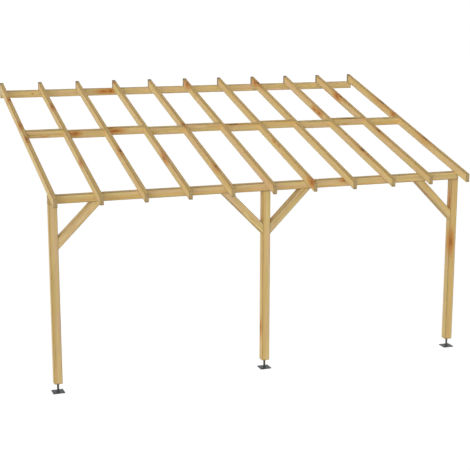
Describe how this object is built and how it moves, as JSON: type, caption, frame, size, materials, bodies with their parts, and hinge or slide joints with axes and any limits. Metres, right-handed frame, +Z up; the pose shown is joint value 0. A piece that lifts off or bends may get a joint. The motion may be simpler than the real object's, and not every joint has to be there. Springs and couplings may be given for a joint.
{
  "type": "lean-to carport frame",
  "caption": "Open timber lean-to carport frame: rafters with stepped noggings on a wall plate and an eaves beam, braced posts on adjustable steel feet.",
  "frame": {"origin": "centre of the wall plate's back face, where the frame meets the house wall", "axes": "+X along the wall to the right as seen from the garden, +Y into the wall, +Z up"},
  "size_m": [5.04, 3.3, 3.1859],
  "materials": {
    "timber": "planed, untreated softwood",
    "plate_steel": "dull dark grey, plate with the rod welded on",
    "bolt_steel": "dull, threaded rod with nut and washer"
  },
  "bodies": {
    "root": {"wall_plate": "timber", "eaves_beam": "timber", "post_left": "timber", "post_middle": "timber", "post_right": "timber", "brace_left": "timber", "brace_middle_left": "timber", "brace_middle_right": "timber", "brace_right": "timber", "rafter_1": "timber", "rafter_2": "timber", "rafter_3": "timber", "rafter_4": "timber", "rafter_5": "timber", "rafter_6": "timber", "rafter_7": "timber", "rafter_8": "timber", "rafter_9": "timber", "rafter_10": "timber", "rafter_11": "timber", "nogging_1": "timber", "nogging_2": "timber", "nogging_3": "timber", "nogging_4": "timber", "nogging_5": "timber", "nogging_6": "timber", "nogging_7": "timber", "nogging_8": "timber", "nogging_9": "timber", "nogging_10": "timber", "foot_plate_left": "plate_steel", "foot_plate_middle": "plate_steel", "foot_plate_right": "plate_steel", "foot_rod_left": "bolt_steel", "foot_rod_middle": "bolt_steel", "foot_rod_right": "bolt_steel", "foot_nut_left": "bolt_steel", "foot_nut_middle": "bolt_steel", "foot_nut_right": "bolt_steel", "foot_washer_left": "bolt_steel", "foot_washer_middle": "bolt_steel", "foot_washer_right": "bolt_steel"}
  },
  "joints": []
}
